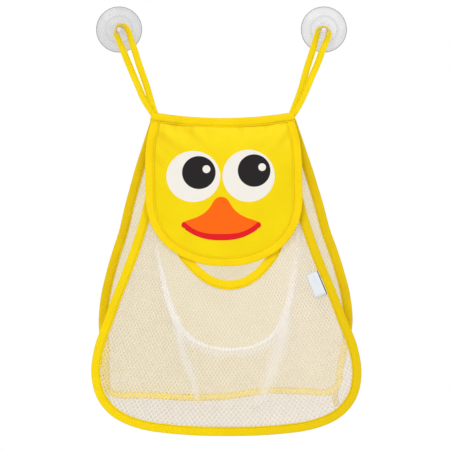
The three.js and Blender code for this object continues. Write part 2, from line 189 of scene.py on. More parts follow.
def unit(v):
    return v / np.maximum(np.linalg.norm(v, axis=-1, keepdims=True), 1e-12)


# Seams, as in the solids

def top_line(x):
    """How far the middle of the top tape lies below the bag's top."""
    return TOP_ROOM + WIDTH / 2 + TOP_SAG * np.maximum(0, 1 - (x / (TOP_LENGTH / 2)) ** 2)


def flared(shares, top_half, widest, height, gap):
    """The right half of a panel's outline."""
    start = top_line(top_half) + WIDTH / 2 + gap
    out = [(top_half + (widest - top_half) * f, start + (height - start) * d) for f, d in shares]
    return out[:-1] + [(0, out[-1][1])]


def waved(places):
    """Moves the low part of the back seam onto the wave, and its two sides left to where they show."""
    out = []
    for x, drop in places:
        row = photo_row(drop)
        share = min(1.0, max(0.0, (row - WAVE_START) / WAVE_BLEND))
        most, middle, reach = LEFT_SHIFT if x < 0 else RIGHT_SHIFT
        aside = most * math.exp(-(((row - middle) / reach) ** 2))
        wave = photo_drop(np.interp((x + BAG_OFFSET) / PIXEL + PHOTO_COLUMN, WAVE_COLUMNS, WAVE_ROWS))
        out.append((x - aside * PIXEL, drop + (wave - drop) * share))
    return out


def both_halves(outline, sway=0.0, tilt=0.0):
    """The whole outline from its right half, swayed to the right and tilted."""
    last = outline[-1][1]

    def place(a, d, side):
        return (side * a + (SWAY + sway / last) * d, d * (1 - tilt * side * a / last))

    left = [place(a, d, -1) for a, d in outline]
    return left + [place(a, d, 1) for a, d in outline[:-1]][::-1]


def centripetal(points, steps=STEPS):
    """Points on a smooth curve through the given ones, so many to each stretch."""
    p = np.array(points, float)
    p = np.vstack([2 * p[0] - p[1], p, 2 * p[-1] - p[-2]])
    out = []
    for i in range(1, len(p) - 2):
        a, b, c, d = p[i - 1 : i + 3]
        t0, t1, t2 = (max(np.linalg.norm(v), 1e-8) ** 0.5 for v in (b - a, c - b, d - c))
        m1 = ((b - a) / t0 - (c - a) / (t0 + t1) + (c - b) / t1) * t1
        m2 = ((c - b) / t1 - (d - b) / (t1 + t2) + (d - c) / t2) * t1
        t = np.arange(steps)[:, None] / steps
        c2, c3 = -3 * b + 3 * c - 2 * m1 - m2, 2 * b - 2 * c + m1 + m2
        out.append(b + m1 * t + c2 * t**2 + c3 * t**3)
    return np.vstack(out + [p[-2:-1]])


class Seam:
    """A line's points, its ways along, into the cloth and to the front, and its length so far."""

    arrays = ("point", "along", "inward", "front")

    def __init__(self, point, slope=0.0, side=1):
        self.point, self.along = point, unit(np.gradient(point, axis=0))
        facing = unit(np.array([0, -1, slope]))
        self.front = unit(facing - self.along * (self.along @ facing)[:, None])
        self.inward = np.cross(self.front, self.along) * side
        self.length = np.concatenate([[0], np.cumsum(np.linalg.norm(np.diff(point, axis=0), axis=1))])

    def changed(self, **values):
        out = copy.copy(self)
        out.__dict__.update(values)
        return out

    def beside(self, into, front):
        return self.point + self.inward * into + self.front * front

    def cut(self, kept):
        """The part of the seam that kept picks, its length still counted from the old start."""
        return self.changed(**{key: getattr(self, key)[kept] for key in (*self.arrays, "length")})

    def part(self, mark):
        """The seam without its first and last so many stretches."""
        out = self.cut(slice(mark * STEPS, len(self.point) - mark * STEPS))
        return out.changed(length=out.length - out.length[0])

    def at(self, s):
        """Point, way along, way in and way to the front at lengths s."""
        point, *ways = (np.stack([np.interp(s, self.length, v) for v in getattr(self, key).T], 1)
                        for key in self.arrays)
        return point, *map(unit, ways)

    def longer(self, at, reach):
        """The seam with one point more, beyond its first (0) or its last (-1)."""
        spot, way = (len(self.length), reach) if at else (0, -reach)
        old = {key: getattr(self, key) for key in self.arrays}
        new = {key: np.insert(values, spot, values[at], axis=0) for key, values in old.items()}
        new["point"][at] += self.along[at] * way
        return self.changed(length=np.insert(self.length, spot, self.length[at] + way), **new)


def seam_through(places, depth, side=1, extra=None):
    """A seam through places. depth is that at the bag's top and its growth, and extra adds to it."""
    top, slope = depth
    points = [(x, -top - slope * d - e, -d) for (x, d), e in zip(places, extra or [0] * len(places))]
    return Seam(centripetal(points), slope, side)


def leaned(seam, degrees):
    """The same seam with its tape leaned forward by so many degrees, given for each point."""
    a = np.radians(degrees)[:, None]
    return seam.changed(point=seam.point + seam.front * np.abs(np.sin(a)) * WIDTH / 2,
                        inward=seam.inward * np.cos(a) + seam.front * np.sin(a),
                        front=seam.front * np.cos(a) - seam.inward * np.sin(a))


def reached(seam, first, last):
    """The same seam, made longer at its two ends or shorter where negative."""
    out = seam.cut((seam.length > -first) & (seam.length < seam.length[-1] + last))
    for at, reach in ((0, first), (-1, last)):
        if reach > 0:
            out = out.longer(at, reach)
    return out.changed(length=out.length - out.length[0])


def drawn_in(seam, left, right):
    """The same seam, its two upper ends drawn towards the middle by so much."""
    near = np.clip(1 - (-seam.point[:, 2] - WIDTH) / DRAWN_OVER, 0, 1.2) ** 1.6
    point = seam.point.copy()
    point[:, 0] += np.where(point[:, 0] < 0, left, -right) * near
    return seam.changed(point=point)


def low_lean(seam):
    """How far the back tape leans at each point, in degrees, as it does only low down."""
    right = smooth_step(seam.point[:, 0] / 60 + 0.5)
    most, start, over = (a + (b - a) * right for a, b in zip(LEAN_LEFT, LEAN_RIGHT))
    return -most * smooth_step((-seam.point[:, 2] - start) / over)


def fine(seam, pitch=1.6):
    """The same seam at an even, fine pitch."""
    length = np.linspace(0, seam.length[-1], max(8, int(seam.length[-1] / pitch)))
    return seam.changed(length=length, **dict(zip(seam.arrays, seam.at(length))))


def top_places(count, half, gap=0.0):
    return [(x, top_line(x) + gap) for x in np.linspace(-half, half, count)]


FRONT_OUT = flared(FRONT_SHARES, STRAP_TOP, FRONT_HALF, FRONT_HEIGHT, CORNER_GAP)
BACK_OUT = flared(BACK_SHARES, BACK_TOP_HALF, BACK_HALF, BACK_HEIGHT, CORNER_GAP)
FLAP_OUT = flared(FLAP_SHARES, FLAP_TOP_HALF, FLAP_HALF, FLAP_HEIGHT, FLAP_GAP)
CREASE_OUT = [(max(0, x - WIDTH / 2 - CREASE_ROOM) * a, drop - CREASE_RISE * r)
              for (x, drop), (a, r) in zip(FRONT_OUT, CREASE_SHARES)]
MOUTH_HALF = FRONT_OUT[MOUTH_FIRST][0] - WIDTH - 2 * CORNER_GAP
MOUTH_OUT = both_halves([(MOUTH_HALF * a, MOUTH_DROP * d) for a, d in MOUTH_SHARES], MOUTH_SWAY)
MOUTH_LEANS = [MOUTH_LEAN * share for share in LEAN_SHARES + LEAN_SHARES[-2::-1]]

FRONT_SEAM = drawn_in(seam_through(both_halves(FRONT_OUT), FRONT_PLANE), *DRAWN_FRONT)
BACK_SEAM = drawn_in(seam_through(waved(both_halves(BACK_OUT, 0, BACK_TILT)), (BACK_DEPTH, 0)), *DRAWN_BACK)
BACK_SEAM = leaned(BACK_SEAM, low_lean(BACK_SEAM))
CREASE = seam_through(both_halves(CREASE_OUT, CREASE_SWAY), CREASE_PLANE)
MOUTH = seam_through(MOUTH_OUT, FRONT_PLANE, -1, MOUTH_LEANS)
FLAP_SEAM = seam_through(both_halves(FLAP_OUT), FLAP_PLANE)
TOP_SEAM = seam_through(top_places(13, TOP_LENGTH / 2), (TOP_MIDDLE, 0), -1)
BACK_TOP = top_places(len(FRONT_SHARES) * 2 - 1, STRAP_TOP + WIDTH / 2)
BACK_TOP_SEAM = seam_through(BACK_TOP, (BACK_DEPTH - LAYER, 0), -1)


# Meshes

def put_in_scene(name, data):
    ob = bpy.data.objects.new(name, data)
    bpy.context.scene.collection.objects.link(ob)
    return ob


def make(name, verts, faces, material, body, slot, node=None, smooth=True, **attributes):
    """A mesh object from bag coordinates. Where given, it rides on a body and replaces a node."""
    mesh = bpy.data.meshes.new(name)
    mesh.from_pydata(((verts + BAG_ORIGIN) * MM).tolist(), [], [list(map(int, f)) for f in faces])
    mesh.validate()
    mesh.update()
    mesh.polygons.foreach_set("use_smooth", [smooth] * len(mesh.polygons))
    for key, values in attributes.items():
        kind, field = ("FLOAT_VECTOR", "vector") if np.ndim(values) == 2 else ("FLOAT", "value")
        a = mesh.attributes.new(key, kind, "POINT")
        a.data.foreach_set(field, np.asarray(values, np.float32).ravel())
    mesh.materials.append(material)
    ob = put_in_scene(name, mesh)
    if body:
        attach(ob, body)
    if node:
        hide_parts(node)
    return ob


def grid_faces(rows, cols, wrap=False, start=0):
    i, j = np.meshgrid(np.arange(rows - 1), np.arange(cols if wrap else cols - 1), indexing="ij")
    k = (j + 1) % cols
    f = np.stack([i * cols + j, (i + 1) * cols + j, (i + 1) * cols + k, i * cols + k], -1)
    return f.reshape(-1, 4) + start


def unchanged(points):
    return points


def swept(name, seam, section, material, body, slot, node=None, lift=0.0, shape=unchanged, start=0.0,
          flat=0.3):
    """A closed band: a section of points (in, to the front) along a seam, lifted and then moved by shape.

    "place" holds each point's length along the seam, counted on from start, its depth times flat, and how
    far in it is.
    """
    front = (section[:, 1] + lift)[..., None]
    points = seam.point[:, None] + seam.inward[:, None] * section[:, :1] + seam.front[:, None] * front
    count, around, _ = points.shape
    faces = [list(f) for f in grid_faces(count, around, wrap=True)]
    faces.append(list(range(around)))
    faces.append(list(range((count - 1) * around, count * around))[::-1])
    place = np.broadcast_arrays(seam.length[:, None] + start, section[:, 1] * flat, section[:, 0])
    place = np.stack(place, -1).reshape(-1, 3)
    return make(name, shape(points).reshape(-1, 3), faces, material, body, slot, node, place=place)


def shell(grid, thickness):
    """A closed sheet, thick from front to back, from its middle grid (rows, columns, 3)."""
    normals = np.cross(np.gradient(grid, axis=0), np.gradient(grid, axis=1))
    n = np.array([0, np.sign(np.median(unit(normals)[..., 1])), 0])
    rows, cols, _ = grid.shape
    verts = np.vstack([(grid + n * thickness / 2).reshape(-1, 3), (grid - n * thickness / 2).reshape(-1, 3)])
    half = rows * cols
    faces = [list(f) for f in grid_faces(rows, cols)]
    faces += [list(f)[::-1] for f in grid_faces(rows, cols, start=half)]
    index = np.arange(half).reshape(rows, cols)
    rim = [*index[:, 0], *index[-1, 1:], *index[-2::-1, -1], *index[0, -2:0:-1]]
    faces += [[b, a, a + half, b + half] for a, b in zip(rim, rim[1:] + rim[:1])]
    return verts, faces


def surface_tree(grid):
    faces = grid_faces(*grid.shape[:2]).tolist()
    return BVHTree.FromPolygons([Vector(p) for p in grid.reshape(-1, 3)], faces)


def seen_at(tree, x, z, far=500.0):
    """The y where a look from the front meets a surface at (x, z), or nan where it misses."""
    hit = tree.ray_cast(Vector((x, -far, z)), Vector((0, 1, 0)))[0]
    return math.nan if hit is None else hit.y


# Node materials

WHITE = (1.0, 1.0, 1.0, 1.0)


def rgb(*levels):
    shares = [c / 255 for c in levels]
    return tuple(((c + 0.055) / 1.055) ** 2.4 if c > 0.04 else c / 12.92 for c in shares) + (1.0,)


def dimmed(colour, share):
    return tuple(share * c for c in colour[:3]) + (1.0,)


class Nodes:
    """A short way to write the node tree of a material or the world. Most methods give an output socket."""

    def __init__(self, owner, end="OutputMaterial"):
        self.owner = owner
        owner.use_nodes = True
        self.tree = owner.node_tree
        self.tree.nodes.clear()
        self.end = self.new(end)

    def new(self, kind, inputs=None, **settings):
        n = self.tree.nodes.new("ShaderNode" + kind)
        for k, v in settings.items():
            setattr(n, k, v)
        for k, v in (inputs or {}).items():
            self.put(n.inputs[k], v)
        return n

    def put(self, socket, value):
        if isinstance(value, bpy.types.NodeSocket):
            self.tree.links.new(value, socket)
        else:
            socket.default_value = value

    def math(self, op, a, b=0.0, c=0.0, clamp=False):
        return self.new("Math", {0: a, 1: b, 2: c}, operation=op, use_clamp=clamp).outputs[0]

    def add(self, a, b):
        return self.math("ADD", a, b)

    def sub(self, a, b):
        return self.math("SUBTRACT", a, b)

    def mul(self, a, b, clamp=False):
        return self.math("MULTIPLY", a, b, clamp=clamp)

    def mul_add(self, a, b, c):
        return self.math("MULTIPLY_ADD", a, b, c)

    def larger(self, a, b):
        return self.math("MAXIMUM", a, b)

    def reach(self, x, z):
        return self.math("SQRT", self.add(self.mul(x, x), self.mul(z, z)))

    def mix(self, factor, a, b):
        return self.new("Mix", {0: factor, 6: a, 7: b}, data_type="RGBA").outputs[2]

    def noise(self, vector, scale, detail=2.0):
        return self.new("TexNoise", {"Vector": vector, "Scale": scale, "Detail": detail}).outputs["Fac"]

    def ramp(self, value, lo, hi):
        """0 at lo and 1 at hi, and no less or more beyond them."""
        return self.new("MapRange", {"Value": value, "From Min": lo, "From Max": hi}).outputs[0]

    def bump(self, height, distance, strength):
        return self.new("Bump", {"Height": height, "Distance": distance, "Strength": strength}).outputs[0]

    def spot(self):
        """Where a point is in the object, in metres."""
        return self.new("TexCoord").outputs["Object"]

    def split(self, vector):
        return self.new("SeparateXYZ", {"Vector": vector}).outputs

    def flat(self, x, y):
        return self.new("CombineXYZ", {"X": x, "Y": y}).outputs[0]

    def attribute(self, name, output):
        return self.new("Attribute", attribute_name=name, attribute_type="GEOMETRY").outputs[output]

    def ray(self, kind):
        return self.new("LightPath").outputs[f"Is {kind} Ray"]

    def shader(self, kind, inputs=None):
        return self.new(kind, inputs).outputs[0]

    def blend(self, share, a, b):
        return self.new("MixShader", {0: share, 1: a, 2: b}).outputs[0]

    def finish(self, shader):
        self.put(self.end.inputs["Surface"], shader)
        return self.owner


def new_material(name):
    return Nodes(bpy.data.materials.new(name))


# Heights and sides, in metres, between which a cloth takes on its low colour, painted light, and its right
# colour, painted shade
LIT_LOW_FADE, SHADE_RIGHT_FADE = (-0.315, -0.35), (-0.08, 0.13)


def cloth_material(name, colour, dark, pitch, print_on=None, low=None, right=None):
    """Woven cloth. low and right are colours painted towards the bag's bottom and its right side: low is
    painted light, right is painted shade.
    """
    n = new_material(name)
    at = n.attribute("place", "Vector")
    x, _, z = n.split(at)
    turns = 2 * math.pi / pitch
    weave = n.mul(n.math("SINE", n.mul(x, turns)), n.math("SINE", n.mul(z, turns)))
    broad = n.noise(at, 0.035, 3.0)
    grain = n.noise(at, 1.4)
    shade = n.add(n.mul(n.ramp(broad, 0.3, 0.7), 0.55), n.mul(grain, 0.3))
    shade = n.add(shade, n.mul(weave, 0.1))
    base = n.mix(n.ramp(shade, 0.1, 0.9), dark, colour)
    # painted light and shade: low lightens the cloth towards the bottom, right darkens it towards the right
    for axis, fade, other in ((2, LIT_LOW_FADE, low), (0, SHADE_RIGHT_FADE, right)):
        if other:
            base = n.mix(n.ramp(n.split(n.spot())[axis], *fade), base, other)
    if print_on:
        base = print_on(n, x, z, base)
    height = n.add(n.mul(weave, 0.5), n.mul(grain, 0.6))
    return n.finish(n.shader("BsdfPrincipled", {
        "Base Color": base, "Roughness": 0.8, "Normal": n.bump(height, 0.00012, 0.6),
        "Sheen Weight": 0.08, "Sheen Roughness": 0.5, "Specular IOR Level": 0.12,
    }))


FORWARD = 0.88  # share of a lamp's light that fine yarn scatters onwards
DIFFUSED = 0.45  # share of the yarn's light that comes through it


def net_material(name, colour, dark, through):
    """Knitted yarn: through is the share of it that is seen straight through."""
    n = new_material(name)
    at = n.spot()
    tone = n.noise(at, 55.0, 3.0)
    yarn = n.noise(at, 2600.0)
    base = n.mix(n.ramp(n.add(n.mul(tone, 0.6), n.mul(yarn, 0.4)), 0.3, 0.7), dark, colour)
    solid = n.shader("BsdfPrincipled", {
        "Base Color": base, "Roughness": 0.65, "Normal": n.bump(yarn, 0.00015, 0.7),
        "Sheen Weight": 0.2, "Specular IOR Level": 0.3,
    })
    lit = n.blend(DIFFUSED, solid, n.shader("BsdfTranslucent", {"Color": base}))
    gaps = n.mul_add(n.ramp(yarn, 0.4, 0.6), 0.2, through - 0.1)
    gaps = n.larger(gaps, n.mul(n.ray("Shadow"), FORWARD))
    return n.finish(n.blend(gaps, lit, n.shader("BsdfTransparent")))


def film_material(name, tint, haze, share, masked=False, drift=0.0, rise=0.0):
    """The holes of the net, veiled by fibres too fine to build one by one, and tinted darker as painted
    shade.

    A masked veil is tinted, with its painted shade, and hazier where "bare" is 1. drift and rise are how much
    hazier it grows to the right and up.
    """
    n = new_material(name)
    at = n.spot()
    parts = n.split(at)
    to_right, to_top = n.ramp(parts[0], -0.04, 0.12), n.ramp(parts[2], -0.33, -0.24)
    cloud = n.ramp(n.noise(at, 60.0), 0.3, 0.7)
    # the tint is painted shade on what shows through the holes
    tone = n.mix(cloud, tint, dimmed(tint, 0.96))
    hazy = n.mul_add(to_right, drift, n.mul_add(cloud, 0.05, share))
    if masked:
        bare = n.attribute("bare", "Fac")
        tone = n.mix(bare, WHITE, tone)
        hazy = n.mul_add(bare, 0.14, hazy)
    if drift:
        tone = n.mix(to_right, dimmed(tint, 0.95), tone)
    tone = n.mix(n.ray("Shadow"), tone, WHITE)
    clear, veil = n.shader("BsdfTransparent", {"Color": tone}), n.shader("BsdfDiffuse", {"Color": haze})
    return n.finish(n.blend(n.mul_add(to_top, rise, hazy), clear, veil))


def fold_material(name, colour):
    """Net gathered in a fold: "dense" is the share of it that is yarn, from 0 to 1."""
    n = new_material(name)
    yarn = n.noise(n.spot(), 900.0)
    base = n.mix(n.ramp(yarn, 0.3, 0.7), dimmed(colour, 0.93), colour)
    solid = n.shader("BsdfPrincipled", {"Base Color": base, "Roughness": 0.8, "Specular IOR Level": 0.1})
    lit = n.blend(0.12, solid, n.shader("BsdfTranslucent", {"Color": base}))
    cover = n.mul(n.attribute("dense", "Fac"), n.mul_add(yarn, 0.5, 0.75), clamp=True)
    return n.finish(n.blend(cover, n.shader("BsdfTransparent"), lit))


# The printed face, as circles and arcs. Its x and z are the row frame's, in millimetres.
EYE_WHITE, EYE_BLACK = rgb(236, 231, 222), rgb(34, 30, 32)
PRINT_EDGE = 0.35
# Middle, radii and colour of each disc of the two eyes
EYES = [((-30.6, -159.8), (29.4, 27.9), EYE_WHITE), ((-24.6, -155.6), (18.4, 18.1), EYE_BLACK),
        ((-16.3, -151.9), (4.4, 4.4), EYE_WHITE), ((29.4, -159.1), (28.5, 28.5), EYE_WHITE),
        ((35.4, -153.4), (17.9, 17.8), EYE_BLACK), ((44.1, -149.7), (4.3, 4.3), EYE_WHITE)]
BILL_X, BILL_TOP, BILL_HALF = -0.3, -181.7, 39.8
# The bill's upper edge, as ways aside and down from its top, and the largest such way
BILL_EDGE = [(0, 0), (4.5, 1.2), (8, 4.4), (10.7, 9), (14, 13.5), (19.2, 18.1), (24, 20.9), (28.2, 22.8),
             (35, 25), (41, 27.4), (45, 29)]
BILL_RANGE = 45.0
# Lower edges of bill and lip: height in the middle, rise at the side, how far aside that is, and power
BILL_LOW = (-222.4, 14.4, 41.0, 3.0)
LIP_LOW = (-229.4, 13.2, 41.0, 2.45)
# The lip's round end: how far aside and how high its middle is, and its radius
LIP_END = (39.7, -212.5, 3.7)
# Folds that run down from the flap's two top corners: where the corner is, the folds' turn, how dark their
# painted shade is
FOLDS = ((-76.0, -0.62, 0.6), (78.0, 0.75, 0.3))
FOLD_TOP = -100.0
CLOTH_TOP = -99.2  # the flap's upper edge at its ends


def painted_fold_shade(n, x, z):
    """Soft shading of the folds from the flap's two top corners and of the puckers below the top tape."""
    total = 0.0
    for corner, turn, most in FOLDS:
        cos, sin = math.cos(turn), math.sin(turn)
        dx, dz = n.sub(x, corner), n.sub(z, FOLD_TOP)
        along = n.add(n.mul(dx, cos), n.mul(dz, sin))
        across = n.sub(n.mul(dz, cos), n.mul(dx, sin))
        folds = n.ramp(n.noise(n.flat(n.mul(along, 0.012), n.mul(across, 0.07)), 1.0, 1.0), 0.46, 0.7)
        away = n.reach(dx, dz)
        fade = n.mul(n.ramp(away, 92.0, 30.0), n.ramp(away, 4.0, 18.0))
        total = n.add(total, n.mul(n.mul(folds, fade), most))
    arch = n.mul_add(n.mul(x, x), TOP_SAG / (TOP_LENGTH / 2) ** 2, CLOTH_TOP - TOP_SAG)
    below = n.sub(arch, z)
    cloud = n.noise(n.flat(n.mul(x, 0.075), n.mul(below, 0.03)), 1.0, 1.0)
    puckers = n.mul(n.ramp(cloud, 0.5, 0.7), n.ramp(below, 17.0, 1.0))
    return n.add(total, n.mul(puckers, 0.42))


def printed_face(n, x, z, base):
    def disc(centre, radii):
        dx, dz = (n.math("DIVIDE", n.sub(v, c), r) for v, c, r in zip((x, z), centre, radii))
        return n.mul(n.sub(1.0, n.reach(dx, dz)), min(radii) / PRINT_EDGE, clamp=True)

    def above(a, b):
        return n.mul(n.sub(a, b), 1 / PRINT_EDGE, clamp=True)

    side = n.math("ABSOLUTE", n.sub(x, BILL_X))

    def arc(middle, rise, aside, power):
        return n.mul_add(n.math("POWER", n.math("DIVIDE", side, aside), power), rise, middle)

    curve = n.new("FloatCurve", {"Value": n.math("DIVIDE", side, BILL_RANGE)})
    edge = [(a / BILL_RANGE, 1 - d / BILL_RANGE) for a, d in BILL_EDGE]
    points = curve.mapping.curves[0].points
    points[0].location, points[1].location = edge[0], edge[-1]
    for place in edge[1:-1]:
        points.new(*place)
    curve.mapping.update()
    top = n.mul_add(curve.outputs[0], BILL_RANGE, BILL_TOP - BILL_RANGE)
    mid, low = arc(*BILL_LOW), arc(*LIP_LOW)
    orange = n.mul(n.mul(above(top, z), above(z, mid)), above(BILL_HALF, side))
    red = n.mul(n.mul(above(n.add(mid, 1.0), z), above(z, low)), above(LIP_END[0], side))
    away = n.reach(n.sub(side, LIP_END[0]), n.sub(z, LIP_END[1]))
    red = n.larger(red, above(LIP_END[2], away))
    # painted light: the flap's cloth lighter towards its top
    base = n.mix(n.mul(n.ramp(z, -150.0, -108.0), 0.7), base, rgb(249, 224, 32))
    # painted shade of the folds from the top corners and of the puckers below the top tape
    base = n.mix(painted_fold_shade(n, x, z), base, rgb(226, 184, 0))
    for centre, radii, colour in EYES:
        base = n.mix(disc(centre, radii), base, colour)
    base = n.mix(red, base, rgb(220, 24, 32))
    return n.mix(orange, base, rgb(252, 102, 10))


YELLOW = cloth_material("tape_yellow", rgb(248, 216, 2), rgb(240, 204, 0), 0.55)
# The front tape's yellow, painted a little darker lower on the bag and darker still towards its right, as
# painted shade
SHADED_FRONT_YELLOW = cloth_material("tape_front", rgb(244, 216, 0), rgb(236, 203, 0), 0.55, right=rgb(227, 194, 0))
LOOP_YELLOW = cloth_material("tape_loop", rgb(246, 219, 8), rgb(238, 207, 2), 0.55)
# The back tape's yellow, painted darker as shade, and lighter towards the bag's bottom as painted light
SHADED = cloth_material("tape_shaded", rgb(233, 203, 0), rgb(221, 185, 0), 0.55, low=rgb(255, 230, 4))
FLAP_CLOTH = cloth_material("flap_cloth", rgb(242, 215, 3), rgb(236, 206, 0), 0.5, print_on=printed_face)
THREAD = cloth_material("thread_yellow", rgb(236, 190, 0), rgb(214, 166, 0), 0.2)
# One cream yarn in lit and shaded copies: painted lighter on the front net, a little darker on the gusset and
# darker and warmer on the back net, as painted shade
LIT_CREAM_FRONT = net_material("net_cream_front", rgb(245, 239, 226), rgb(235, 227, 208), 0.38)
CREAM = net_material("net_cream", rgb(236, 229, 214), rgb(226, 216, 194), 0.58)
SHADED_CREAM_BACK = net_material("net_cream_back", rgb(232, 219, 178), rgb(222, 205, 156), 0.45)
FILM = film_material("veil_front", (0.99, 0.98, 0.96, 1.0), rgb(242, 234, 226), 0.03, drift=0.22, rise=0.16)
# The gusset's and the back net's veils tint what shows through them darker, and warm at the back, as painted
# shade
SHADED_FILM_GUSSET = film_material("veil_gusset", (0.72, 0.652, 0.57, 1.0), rgb(238, 232, 226), 0.1, masked=True)
SHADED_FILM_BACK = film_material("veil_back", (0.82, 0.72, 0.475, 1.0), rgb(236, 222, 180), 0.04)
FILM_CLEAR = film_material("veil_clear", WHITE, rgb(240, 232, 214), 0.01)
GATHERED = fold_material("net_fold", rgb(247, 247, 252))
LABEL = cloth_material("label_white", rgb(236, 241, 246), rgb(226, 232, 238), 0.35)
# A dark colour for the line along the label's seam edge
DARK_EDGE = cloth_material("thread_dark", rgb(84, 82, 62), rgb(58, 56, 44), 0.2)


# Nets

PITCH, STRAND = 3.6, 0.72
PULL = 0.38  # how far the net is pulled from regular hexagons, at 0, towards diamonds, at 0.5
SIDE, ROW = PITCH / math.sqrt(3), PITCH * math.sqrt(3) / 2
KNOT_RELIEF = 0.15
# How the net sways to and fro: phase and millimetres to a radian, across and down
SWAYS = ((1.3, 23.0), (0.4, 31.0))


def flat_net(count, degrees, fan):
    """Corners (x, z) of a flat net, six to a cell, and how many cells it has each way."""
    i, j = np.meshgrid(np.arange(-2 * count, 2 * count + 1), np.arange(-count, count + 1), indexing="ij")
    cells = (i[..., None] * np.array([PITCH, 0]) + j[..., None] * np.array([PITCH / 2, ROW]))[:, :, None]
    arms = [[math.cos(a), math.sin(a)] for a in (math.pi / 2, math.pi * 7 / 6, math.pi * 11 / 6)]
    arms = np.array(arms) * STRAND / math.sqrt(3)
    corners = np.concatenate([cells + np.array([0, SIDE * PULL]) - arms,
                              cells + np.array([0, SIDE * (1 - PULL)]) + arms], axis=2)
    cos, sin = math.cos(math.radians(degrees)), math.sin(math.radians(degrees))
    flat = corners.reshape(-1, 2) @ np.array([[cos, sin], [-sin, cos]])
    if fan:
        swing, r = flat[:, 0] / fan, fan - flat[:, 1]
        flat = np.stack([r * np.sin(swing), fan - r * np.cos(swing)], 1)
    return flat, i.shape


def net_faces(shape):
    """Strands with four corners, knots with three and holes with six."""
    index = 6 * np.arange(shape[0] * shape[1]).reshape(shape)
    here = index[:-1, 1:]
    strands = []
    for k, other in enumerate((here, index[:-1, :-1], index[1:, :-1])):
        p, q = (k + 1) % 3, (k + 2) % 3
        strands.append(np.stack([here + p, other + 3 + q, other + 3 + p, here + q], -1).reshape(-1, 4))
    knots = np.concatenate([index.ravel()[:, None] + corners for corners in ([0, 1, 2], [3, 4, 5])])
    here, up, right, low = index[:-1, 1:-1], index[:-1, 2:], index[1:, 1:-1], index[1:, :-2]
    holes = np.stack([low + 3, right + 2, right + 4, up, here + 5, here + 1], -1).reshape(-1, 6)
    return np.vstack(strands), knots, holes


def hex_net(name, node, grid, degrees, yarn, veil, wave, fan=0.0, behind=None):
    """Knitted net with six-sided holes, laid over a surface given by a grid of points.

    fan is the radius that the net's rows curve with, gathered towards the top, and 0 leaves them straight.
    Where the surface behind is given, "bare" is 1 where it isn't seen through the net.
    """
    tree = surface_tree(grid)
    spots = grid.reshape(-1, 3)[:, [0, 2]]
    lo, hi = spots.min(0) - PITCH, spots.max(0) + PITCH
    flat, shape = flat_net(int(np.linalg.norm(hi - lo) / 2 / ROW) + 2, degrees, fan)
    xz = flat + (lo + hi) / 2
    y = np.full(len(xz), np.nan)
    for k in np.nonzero(np.all((xz > lo) & (xz < hi), axis=1))[0]:
        y[k] = seen_at(tree, *xz[k])
    y += wave * np.prod([np.sin(v / size + phase) for v, (phase, size) in zip(xz.T, SWAYS)], axis=0)
    y += KNOT_RELIEF * np.tile([1, 1, 1, -1, -1, -1], len(y) // 6)
    parts = [f[~np.isnan(y[f]).any(1)] for f in net_faces(shape)]
    used, inverse = np.unique(np.concatenate([f.ravel() for f in parts]), return_inverse=True)
    ends = np.cumsum([f.size for f in parts])[:-1]
    strands, knots, holes = (v.reshape(f.shape).tolist() for v, f in zip(np.split(inverse, ends), parts))
    extra = {}
    if behind is not None:
        back = surface_tree(behind)
        extra["bare"] = np.isnan([seen_at(back, x, z) for x, z in xz[used]]).astype(float)
    verts = np.stack([xz[used, 0], y[used], xz[used, 1]], 1)
    ob = make(name, verts, strands + knots + holes, yarn, "bag", "net", node, smooth=False, **extra)
    ob.data.materials.append(veil)
    solid = len(strands) + len(knots)
    ob.data.polygons.foreach_set("material_index", [0] * solid + [1] * (len(ob.data.polygons) - solid))
    return ob


# The gusset's crease: how far the net runs in before it, and how far a leaf is from the fold's middle
FOLD_IN, FOLD_OPEN = 0.6, 0.5
# How far a gathered strip lies in front of its line, at its edges and in its middle
FOLD_EDGE, FOLD_LIFT = 0.4, 1.0


def ruled(first, start, end, last, toward=None, swell=None, power=1, count=22):
    """A surface between two seams: rows along the seams, columns across, swollen to the front if asked."""
    v = np.linspace(0, 1, count)
    sheet = start[:, None] * (1 - v[:, None]) + end[:, None] * v[:, None]
    if swell is not None:
        sheet = sheet + toward[:, None] * (swell[:, None] * np.sin(np.pi * v) ** power)[..., None]
    return np.concatenate([first[:, None], sheet, last[:, None]], axis=1)


def distance(a, b):
    return np.linalg.norm(a - b, axis=1)


def into_tape(seam, slot, front=0):
    """A cloth's last row in the tape and its row at the tape's edge."""
    end = -WIDTH / 2 + TAPE + min((slot + TAPE) / 2, WIDTH / 4)
    return seam.beside(end, front), seam.beside(TAPE_EDGE, front)


def net_surfaces():
    """The grids of the front net, the back net and the gusset's two leaves."""
    low, high = FRONT_SEAM.part(NET_FIRST), MOUTH.part(NET_FIRST - MOUTH_FIRST)
    upper, lower = into_tape(high, SINGLE_SLOT), into_tape(low, DOUBLE_SLOT, LAYER)
    swell = FRONT_SWELL * distance(upper[1], lower[1]) / (FRONT_HEIGHT - MOUTH_DROP)
    front = ruled(*upper, *lower[::-1], low.front, swell, 2)
    back = ruled(*into_tape(BACK_TOP_SEAM, TOP_SLOT), *into_tape(BACK_SEAM, DOUBLE_SLOT, -LAYER)[::-1])
    f, c, b = (s.part(GUSSET_FIRST) for s in (FRONT_SEAM, CREASE, BACK_SEAM))
    leaf_front = ruled(*into_tape(f, DOUBLE_SLOT, -LAYER),
                       c.beside(-FOLD_IN, FOLD_OPEN), c.beside(0, FOLD_OPEN))
    leaf_back = ruled(c.beside(0, -FOLD_OPEN), c.beside(-FOLD_IN, -FOLD_OPEN),
                      *into_tape(b, DOUBLE_SLOT, LAYER)[::-1])
    return front, back, leaf_front, leaf_back


